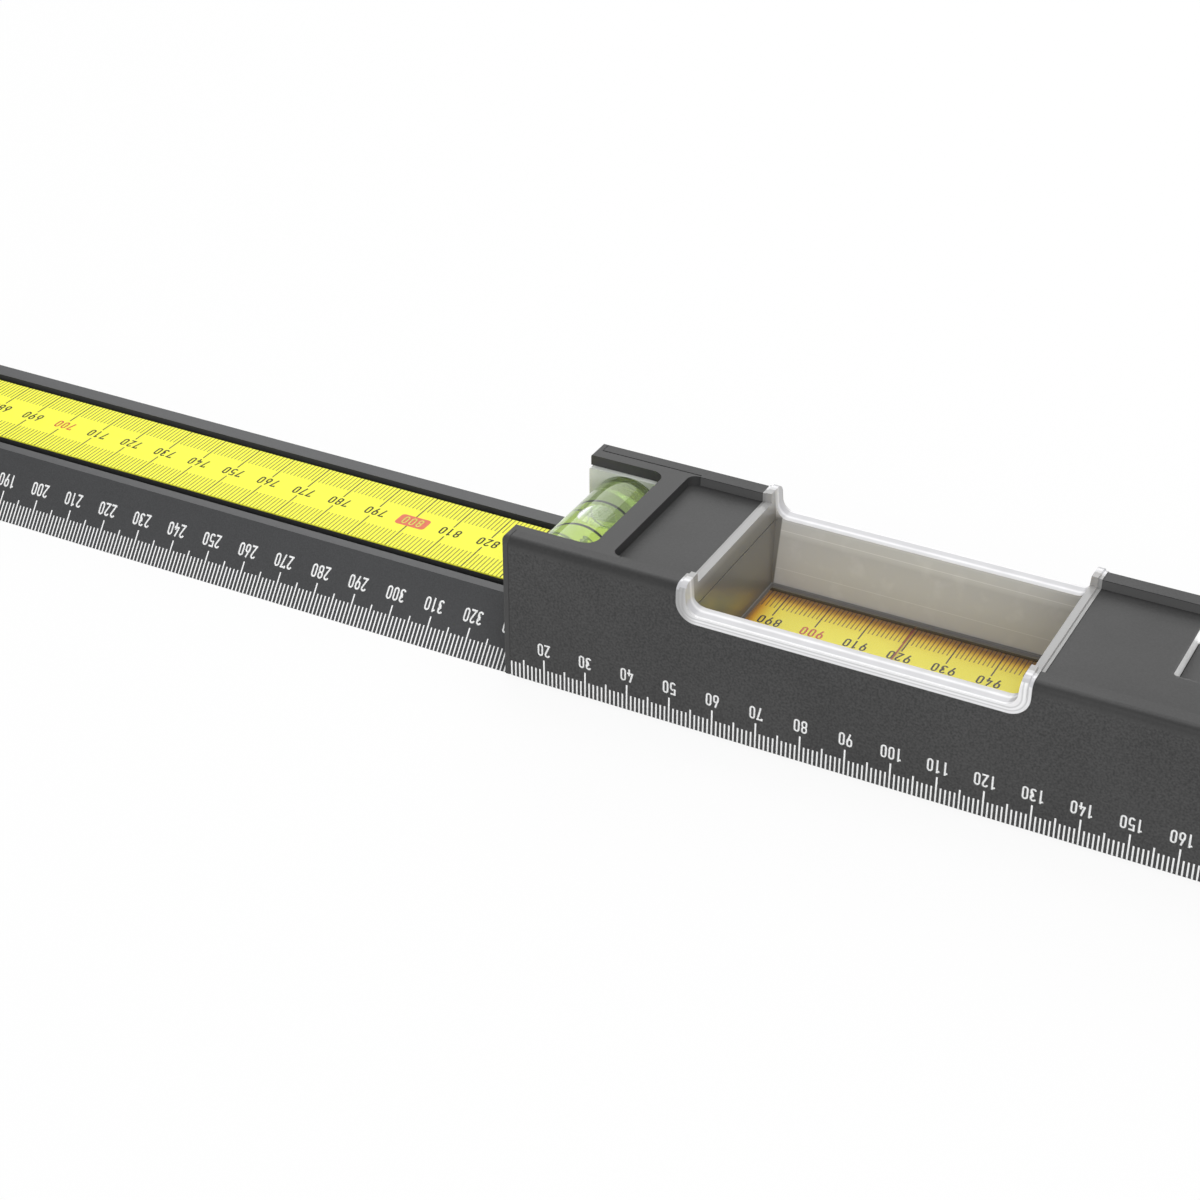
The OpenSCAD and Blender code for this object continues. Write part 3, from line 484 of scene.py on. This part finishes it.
wears = {"housing_profile": "housing", "mouth_insert": "insert", "mouth_screws": "steel",
         "cross_vial_barrel": "barrel", "cross_vial_plug": "barrel", "cross_vial_liquid": "liquid",
         "cross_vial_rings": "rings", "reading_window": "window", "red_line": "line",
         "long_vial_block": "well", "long_vial_plug": "well", "long_vial_liquid": "longLiquid",
         "long_vial_rings": "rings", "long_vial_cover": "insert", "end_cap": "insert",
         "end_cap_screws": "steel", "stop_screw": "steel", "rail_profile": "rail", "rail_tape": "tape",
         "rail_cap": "insert", "rail_cap_screws": "steel", "slider": "slider", "slider_screws": "steel"}
for name, finish in wears.items():
    for holder in nodes[name].material_slots:
        holder.material = finishes[finish]
print("materials assigned")


# making and placing pieces

def settle(piece, name, matrix, finish, body):
    piece.name = name
    piece.data.name = name
    piece.data.transform(matrix)
    piece.matrix_world = Matrix.Identity(4)
    piece.data.materials.clear()
    piece.data.materials.append(finishes[finish])
    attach(piece, body)
    return piece


def clearSelection():
    if bpy.context.object and bpy.context.object.mode != "OBJECT":
        bpy.ops.object.mode_set(mode="OBJECT")
    bpy.ops.object.select_all(action="DESELECT")


def startPicking(kind):  # edit mode with nothing selected, back in object mode
    bpy.ops.object.mode_set(mode="EDIT")
    bpy.ops.mesh.select_mode(type=kind)
    bpy.ops.mesh.select_all(action="DESELECT")
    bpy.ops.object.mode_set(mode="OBJECT")


def selectFaces(piece, test):  # selects the faces whose middle and normal pass the test, in edit mode
    startPicking("FACE")
    for polygon in piece.data.polygons:
        polygon.select = test(polygon.center, polygon.normal)
    bpy.ops.object.mode_set(mode="EDIT")


def selectEdges(piece, test):  # selects the edges whose two ends pass the test, in edit mode
    startPicking("EDGE")
    for edge in piece.data.edges:
        edge.select = test(*(piece.data.vertices[i].co for i in edge.vertices))
    bpy.ops.object.mode_set(mode="EDIT")


# a box whose edges in one direction (0, 1 or 2) are rounded, sizes in metres
def roundedBlock(middle, size, direction, radius, segments):
    clearSelection()
    bpy.ops.mesh.primitive_cube_add(size=1, location=middle, scale=size)
    block = bpy.context.object
    bpy.ops.object.transform_apply(location=True, rotation=True, scale=True)
    selectEdges(block, lambda a, b: abs(a[direction] - b[direction]) > size[direction] / 2)
    bpy.ops.mesh.bevel(offset=radius, segments=segments, affect="EDGES")
    bpy.ops.object.mode_set(mode="OBJECT")
    return block


def joinPieces(pieces):
    clearSelection()
    for piece in pieces:
        piece.select_set(True)
    bpy.context.view_layer.objects.active = pieces[0]
    bpy.ops.object.join()
    return bpy.context.object


def combine(piece, other, how):
    clearSelection()
    bpy.context.view_layer.objects.active = piece
    change = piece.modifiers.new("combine", "BOOLEAN")
    change.operation = how
    change.solver = "EXACT"
    change.object = other
    bpy.ops.object.modifier_apply(modifier="combine")
    bpy.data.objects.remove(other)
    return piece


def smoothByAngle(piece, degrees):
    clearSelection()
    piece.select_set(True)
    bpy.context.view_layer.objects.active = piece
    bpy.ops.object.shade_smooth_by_angle(angle=math.radians(degrees))


# printed scales

# the beds of the three scales, in mm: the side over its groove, the rail's bevel and the tape
sideBed = {"foot": 0.85}
bevel = {"foot": 1.3, "run": 0.788, "slope": math.hypot(0.788, 1)}
tapeBed = {"middle": 28.35, "top": 13.1}


# a printed face: where a point along the scale, up the face and out of it lies
def sideFace(along, up, out):
    return place(along - tool["sideLead"], -out, sideBed["foot"] + up)


def bevelFace(along, up, out):
    slope = bevel["slope"]
    return place(along - tool["railLead"], bevel["foot"] + (bevel["run"] * up - out) / slope,
                 (up + bevel["run"] * out) / slope)


def tapeFace(along, up, out):  # along is the value that the tape shows
    return place(along - tool["tapeLead"], tapeBed["middle"] + up, tapeBed["top"] + out)


def onFace(face, raised=0.0):  # matrix from a flat drawing in mm to a printed face
    origin = face(0, 0, raised)
    across = face(1, 0, raised) - origin
    up = face(0, 1, raised) - origin
    out = face(0, 0, 1 + raised) - origin
    return Matrix(((across.x, up.x, out.x, origin.x), (across.y, up.y, out.y, origin.y),
                   (across.z, up.z, out.z, origin.z), (0, 0, 0, 1)))


# how much smaller a tick's upper face is, and how far a print's middle lies over its face, as a share of
# the print's thickness
tickTaper = (0.9, 0.99, 1)
printLift = 0.6


# one tick, repeated every step mm from first, count times
def tickRow(first, step, count, low, high, width, thick):
    clearSelection()
    middle = (first, (low + high) / 2, 0)
    bpy.ops.mesh.primitive_cube_add(size=1, location=middle, scale=(width, high - low, thick))
    tick = bpy.context.object
    bpy.ops.object.transform_apply(location=True, rotation=True, scale=True)
    selectFaces(tick, lambda spot, normal: normal.z > 0.5)
    bpy.ops.transform.resize(value=tickTaper, center_override=(first, (low + high) / 2, thick / 2))
    bpy.ops.object.mode_set(mode="OBJECT")
    row = tick.modifiers.new("row", "ARRAY")
    row.count = count
    row.use_relative_offset = False
    row.use_constant_offset = True
    row.constant_offset_displace = (step, 0, 0)
    bpy.ops.object.modifier_apply(modifier="row")
    return tick


# figures of the side scales and of the tape, in mm
digit = {"tall": 2.74, "wide": 0.93, "stroke": 0.48, "thick": 0.02, "step": 1.68}
tapeDigit = {"tall": 2.74, "wide": 0.95, "stroke": 0.42, "thick": 0.02, "step": 1.9}


def bow(x, y, start, stop, radius, steps=5):  # points on an arc, angles in degrees
    turn = [math.radians(start + (stop - start) * i / steps) for i in range(steps + 1)]
    return [(x + radius * math.cos(a), y + radius * math.sin(a)) for a in turn]


def stroke(*points):  # an open stroke along the points
    return (points, False)


def loop(points):  # a stroke that closes
    return (points, True)


# middle lines of one figure's strokes, w wide and h tall; strokes that meet at a corner are separate
def digitStrokes(figure, w, h, s):
    r = w / 2
    end = s / 2
    bar = 0.3 * h
    stem = 0.66 * w
    waist = 0.62 * h
    drawn = {
        "0": [loop(bow(r, h - r, 0, 180, r) + bow(r, r, 180, 360, r))],
        "1": [stroke((0.05 * w, h - 0.32), (stem, h - 0.06)), stroke((stem, h + end), (stem, -end))],
        "2": [stroke(*bow(r, h - r, 180, -30, r, 7)), stroke((0.96 * w, h - 1.45 * r), (0.05 * w, 0.08)),
              stroke((-end, 0), (w + end, 0))],
        "3": [stroke(*bow(r, h - r, 170, -70, r, 7)), stroke(*bow(r, r * 1.06, 75, -170, r, 8)),
              stroke((0.5 * w, h - 1.98 * r), (0.62 * w, 2.06 * r)), stroke((w, waist), (w, 0.74 * h)),
              stroke((w, r), (w, 0.4 * h)), stroke((0.72 * w, 0.52 * h), (w, waist)),
              stroke((0.72 * w, 0.5 * h), (w, 0.4 * h))],
        "4": [stroke((0.6 * w, h + end), (0, bar - 0.02)), stroke((-end, bar), (w + end, bar)),
              stroke((0.8 * w, 0.52 * h), (0.8 * w, -end))],
        "5": [stroke((-end, h), (w + 0.04, h)), stroke((0, h + end), (0, 0.52 * h)),
              stroke((0, 0.55 * h), (0.3 * w, waist)),
              stroke(*bow(r, waist - r, 100, 0, r, 4), *bow(r, r, 0, -170, r, 7))],
        "6": [loop(bow(r, r, 0, -180, r, 7) + [(0, 0.34 * h)] + bow(r, 0.6 * h - r, 165, 0, r, 7)),
              stroke((0.03 * w, 0.36 * h), (stem, h + end))],
        "7": [stroke((0, h + end), (0, h - 0.42)), stroke((-end, h), (w + end, h)),
              stroke((w, h), (0.3 * w, -end))],
        "8": [loop(bow(r, h - r, 0, 180, r) + bow(r, 0.53 * h + 0.86 * r, 180, 360, r)),
              loop(bow(r, 0.53 * h - r, 0, 180, r) + bow(r, r, 180, 360, r))],
    }
    drawn["9"] = [([(w - x, h - y) for x, y in points], closes) for points, closes in drawn["6"]]
    return drawn[figure]


def makeFigure(figure, d):  # one figure, its strokes swept as flat bars, standing on its base line
    clearSelection()
    drawing = bpy.data.curves.new("figure" + figure, "CURVE")
    drawing.dimensions = "3D"
    drawing.bevel_depth = d["stroke"] / 2
    drawing.bevel_resolution = 0
    drawing.use_fill_caps = True
    for points, closes in digitStrokes(figure, d["wide"], d["tall"], d["stroke"]):
        spline = drawing.splines.new("POLY")
        spline.points.add(len(points) - 1)
        for point, (x, y) in zip(spline.points, points):
            point.co = (x - d["wide"] / 2, y, 0, 1)
        spline.use_cyclic_u = closes
    glyph = bpy.data.objects.new("figure" + figure, drawing)
    bpy.context.scene.collection.objects.link(glyph)
    glyph.select_set(True)
    bpy.context.view_layer.objects.active = glyph
    bpy.ops.object.convert(target="MESH")
    glyph = bpy.context.object
    glyph.data.transform(Matrix.Diagonal((1, 1, d["thick"] / d["stroke"], 1)))
    return glyph


def makeFigures(d):  # the ten figures, to be copied
    return {"size": d, "shapes": {figure: makeFigure(figure, d) for figure in "0123456789"}}


def dropFigures(figures):
    for shape in figures["shapes"].values():
        bpy.data.objects.remove(shape)


# a number written upside down, its middle at x and its foot at y
def writeNumber(figures, value, x, y):
    text = str(value)
    copies = []
    for i, figure in enumerate(text):
        shape = figures["shapes"][figure]
        copy = shape.copy()
        copy.data = shape.data.copy()
        bpy.context.scene.collection.objects.link(copy)
        shift = (i - (len(text) - 1) / 2) * figures["size"]["step"]
        copy.data.transform(Matrix.Translation((x - shift, y, 0)) @ Matrix.Diagonal((-1, -1, 1, 1)))
        copies.append(copy)
    return copies


def writeRow(figures, values, y, shift=0.0):
    copies = []
    for value in values:
        copies += writeNumber(figures, value, value + shift, y)
    return joinPieces(copies)


sideScale = {"first": 12, "last": 588, "low": 0.02, "minor": 3.75, "half": 4.8, "major": 6.25, "line": 0.38,
             "thick": 0.02, "numberFoot": 10.15}
railScale = {"first": 12, "last": 582, "low": 0.02, "minor": 4.8, "half": 5.9, "major": 7.1, "line": 0.33,
             "thick": 0.02, "numberFoot": 11.1}
tapeScale = {"first": 523, "last": 1093, "minor": 6.4, "major": 9.4, "reach": 11.65, "line": 0.25,
             "bold": 0.32, "thick": 0.02, "numberShift": 0.35, "badge": 800, "badgeLong": 7.8,
             "badgeTall": 4.4, "badgeThick": 0.028, "badgeRound": 0.9}


def printSideScale(name, figures, scale, face, body):
    span = range(scale["first"], scale["last"] + 1)
    lift = scale["thick"] * printLift
    rows = []
    for unit in range(10):
        top = scale["major"] if unit == 0 else scale["half"] if unit == 5 else scale["minor"]
        hits = [n for n in span if n % 10 == unit]
        rows.append(tickRow(hits[0], 10, len(hits), scale["low"], top, scale["line"], scale["thick"]))
    settle(joinPieces(rows), name + "Ticks", onFace(face, lift), "white", body)
    numbers = [n for n in span if n % 10 == 0 and n >= 20]
    row = writeRow(figures, numbers, scale["numberFoot"])
    settle(row, name + "Numbers", onFace(face, lift), "white", body)


sideFigures = makeFigures(digit)
printSideScale("housingScale", sideFigures, sideScale, sideFace, "housing")
printSideScale("railScale", sideFigures, railScale, bevelFace, "rail")
dropFigures(sideFigures)
print("side scales printed")


def printTape(figures, scale):
    span = range(scale["first"], scale["last"] + 1)
    lift = scale["thick"] * printLift
    minor, major = [], []
    for side in (-1, 1):
        for unit in range(10):
            long = scale["minor"] if unit else scale["major"]
            width = scale["line"] if unit else scale["bold"]
            hits = [n for n in span if n % 10 == unit]
            ends = sorted((side * scale["reach"], side * (scale["reach"] - long)))
            row = tickRow(hits[0], 10, len(hits), ends[0], ends[1], width, scale["thick"])
            (minor if unit else major).append(row)
    settle(joinPieces(minor), "tapeTicks", onFace(tapeFace, lift), "olive", "rail")
    settle(joinPieces(major), "tapeTens", onFace(tapeFace, lift), "black", "rail")
    tens = [n for n in span if n % 10 == 0]
    foot = figures["size"]["tall"] / 2
    shift = scale["numberShift"]
    plain = writeRow(figures, [n for n in tens if n % 100], foot, shift)
    settle(plain, "tapeNumbers", onFace(tapeFace, lift), "black", "rail")
    hundreds = writeRow(figures, [n for n in tens if n % 100 == 0 and n != scale["badge"]], foot, shift)
    settle(hundreds, "tapeHundreds", onFace(tapeFace, lift), "red", "rail")
    size = (scale["badgeLong"], scale["badgeTall"], scale["badgeThick"])
    badge = roundedBlock((scale["badge"] + shift, 0, 0), size, 2, scale["badgeRound"], 5)
    settle(badge, "tapeBadge", onFace(tapeFace, lift), "badge", "rail")
    number = writeRow(figures, [scale["badge"]], foot, shift)
    overBadge = onFace(tapeFace, lift + scale["thick"])
    settle(number, "tapeBadgeNumber", overBadge, "yellow", "rail")


tapeFigures = makeFigures(tapeDigit)
printTape(tapeFigures, tapeScale)
dropFigures(tapeFigures)
print("tape printed")


# the cross vial's clear body without its bore, so that the light bends only where it really does, in mm
crossVial = {"x": 20.3, "z": 24.05, "radius": 8.8, "near": 5.6, "far": 41.6, "round": 0.35,
             "plateFrom": 10.6, "plateTo": 29.2, "plateNear": 4.7, "plateFar": 38.8, "plateThick": 3.7,
             "plateLow": 23.65, "plateTop": 32.85, "bubble": 5.0, "bubbleDrop": 2.4, "bubbleGap": 0.03,
             "liquid": 5.4, "boreLong": 30.0}


def vialPlates(v):  # the two end plates, by their near faces
    long = v["plateTo"] - v["plateFrom"]
    tall = v["plateTop"] - v["plateLow"]
    size = (long * mm, v["plateThick"] * mm, tall * mm)
    plates = []
    for near in (v["plateNear"], v["plateFar"]):
        middle = place(v["plateFrom"] + long / 2, near + v["plateThick"] / 2, v["plateLow"] + tall / 2)
        plates.append(roundedBlock(middle, size, 1, v["round"] * mm, 3))
    return plates


def makeCrossVial(v):
    clearSelection()
    middle = place(v["x"], (v["near"] + v["far"]) / 2, v["z"])
    bpy.ops.mesh.primitive_cylinder_add(vertices=128, radius=v["radius"] * mm, location=middle,
                                        depth=(v["far"] - v["near"]) * mm, rotation=(math.pi / 2, 0, 0))
    barrel = bpy.context.object
    bpy.ops.object.transform_apply(location=True, rotation=True, scale=True)
    selectFaces(barrel, lambda spot, normal: abs(normal.y) > 0.9)
    bpy.ops.mesh.bevel(offset=v["round"] * mm, segments=3, affect="EDGES")
    bpy.ops.object.mode_set(mode="OBJECT")
    for cutter in vialPlates(v):
        combine(barrel, cutter, "DIFFERENCE")
    settle(barrel, "crossVialBody", Matrix.Identity(4), "barrel", "housing")
    smoothByAngle(barrel, 30)
    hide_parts("cross_vial_barrel", "cross_vial_plug")
    plates = joinPieces(vialPlates(v))
    settle(plates, "crossVialPlates", Matrix.Identity(4), "plate", "housing")
    smoothByAngle(plates, 30)


def makeBubble(v):  # the air in the liquid, a ball cut by the bore
    clearSelection()
    spot = place(v["x"], tool["halfWidth"], v["z"] + v["liquid"] - v["bubbleDrop"] + v["bubble"])
    bpy.ops.mesh.primitive_uv_sphere_add(segments=64, ring_count=32, location=spot,
                                         radius=(v["bubble"] - v["bubbleGap"]) * mm)
    bubble = bpy.context.object
    bpy.ops.object.transform_apply(location=True, rotation=True, scale=True)
    bpy.ops.mesh.primitive_cylinder_add(vertices=96, radius=(v["liquid"] - v["bubbleGap"]) * mm,
                                        depth=v["boreLong"] * mm, rotation=(math.pi / 2, 0, 0),
                                        location=place(v["x"], tool["halfWidth"], v["z"]))
    bore = bpy.context.object
    bpy.ops.object.transform_apply(location=True, rotation=True, scale=True)
    combine(bubble, bore, "INTERSECT")
    settle(bubble, "crossVialBubble", Matrix.Identity(4), "bubble", "housing")
    smoothByAngle(bubble, 35)


makeCrossVial(crossVial)
makeBubble(crossVial)
print("cross vial made")

# a dark ring that paints the shadow in the gap round the long vial's cover, in mm
gapShadow = {"middle": (179.3, 28.6), "size": (59.2, 19.8), "low": 28.76, "tall": 0.4, "wide": 0.34,
        "round": 0.8}


# a thin dark ring lying in the gap, as painted shadow
def makeSeal(s):
    size = (s["size"][0] * mm, s["size"][1] * mm, s["tall"] * mm)
    middle = place(*s["middle"], s["low"] + s["tall"] / 2)
    ring = roundedBlock(middle, size, 2, s["round"] * mm, 6)
    selectFaces(ring, lambda spot, normal: abs(normal.z) > 0.9)
    bpy.ops.mesh.inset(thickness=s["wide"] * mm, depth=0)
    bpy.ops.mesh.bridge_edge_loops()
    bpy.ops.object.mode_set(mode="OBJECT")
    settle(ring, "longVialGapShadow", Matrix.Identity(4), "gapShadow", "housing")


makeSeal(gapShadow)
print("long vial gap shadow painted")


# floor, world and lamps

studio = {"floor": (0.88, 0.88, 0.88), "floorLevel": -0.0001, "floorSize": 12.0, "floorRough": 0.9,
          "glow": 0.92, "world": 0.34, "aim": (0, 0, 0),
          "backAt": (-0.6, 1.15, 0.85), "backSize": (1.3, 1.0), "back": 7.5,
          "topAt": (0.1, 0.25, 1.45), "topSize": (1.3, 0.9), "top": 12.0,
          "frontAt": (0.55, -1.38, 0.65), "frontSize": (2.2, 0.9), "front": 14.6}


def makeFloor():
    clearSelection()
    bpy.ops.mesh.primitive_plane_add(size=studio["floorSize"], location=(0, 0, studio["floorLevel"]))
    floor = bpy.context.object
    floor.name = "floor"
    material, shader, wire = startMaterial("floorPaper")[:3]
    shader.inputs["Base Color"].default_value = (*studio["floor"], 1)
    shader.inputs["Roughness"].default_value = studio["floorRough"]
    rays = wire.node("ShaderNodeLightPath", {}, {}, "Is Camera Ray")
    glossy = wire.node("ShaderNodeLightPath", {}, {}, "Is Glossy Ray")
    through = wire.node("ShaderNodeLightPath", {}, {}, "Is Transmission Ray")
    seen = (rays + glossy + through).over(0.5, 0.1)
    glow = wire.node("ShaderNodeEmission", {}, {"Color": (1.0, 1.0, 1.0), "Strength": 1.0})
    plain = Wire(material.node_tree, shader.outputs[0])
    finishWith(material, blendShaders(wire, seen * studio["glow"], plain, glow))
    floor.data.materials.append(material)


def makeWorld():
    world = bpy.data.worlds.new("studioWorld")
    bpy.context.scene.world = world
    world.use_nodes = True
    wire = Wire(world.node_tree)
    back = world.node_tree.nodes["Background"]
    rays = wire.node("ShaderNodeLightPath", {}, {}, "Is Camera Ray")
    through = wire.node("ShaderNodeLightPath", {}, {}, "Is Transmission Ray")
    seen = (rays + through).over(0.5, 0.1)
    back.inputs["Color"].default_value = (1, 1, 1, 1)
    strength = seen * (1 - studio["world"]) + studio["world"]
    world.node_tree.links.new(strength.socket, back.inputs["Strength"])


def makeLamp(name, at, towards, size, power):
    bpy.ops.object.light_add(type="AREA", location=at)
    lamp = bpy.context.object
    lamp.name = name
    lamp.data.shape = "RECTANGLE"
    lamp.data.size, lamp.data.size_y = size
    lamp.data.energy = power
    lamp.rotation_euler = (Vector(towards) - Vector(at)).to_track_quat("-Z", "Y").to_euler()


makeFloor()
makeWorld()
for lamp in ("back", "top", "front"):
    makeLamp(lamp + "Lamp", studio[lamp + "At"], studio["aim"], studio[lamp + "Size"], studio[lamp])
makeCamera(camera)
bpy.context.scene.view_settings.view_transform = "Standard"
print("studio ready")
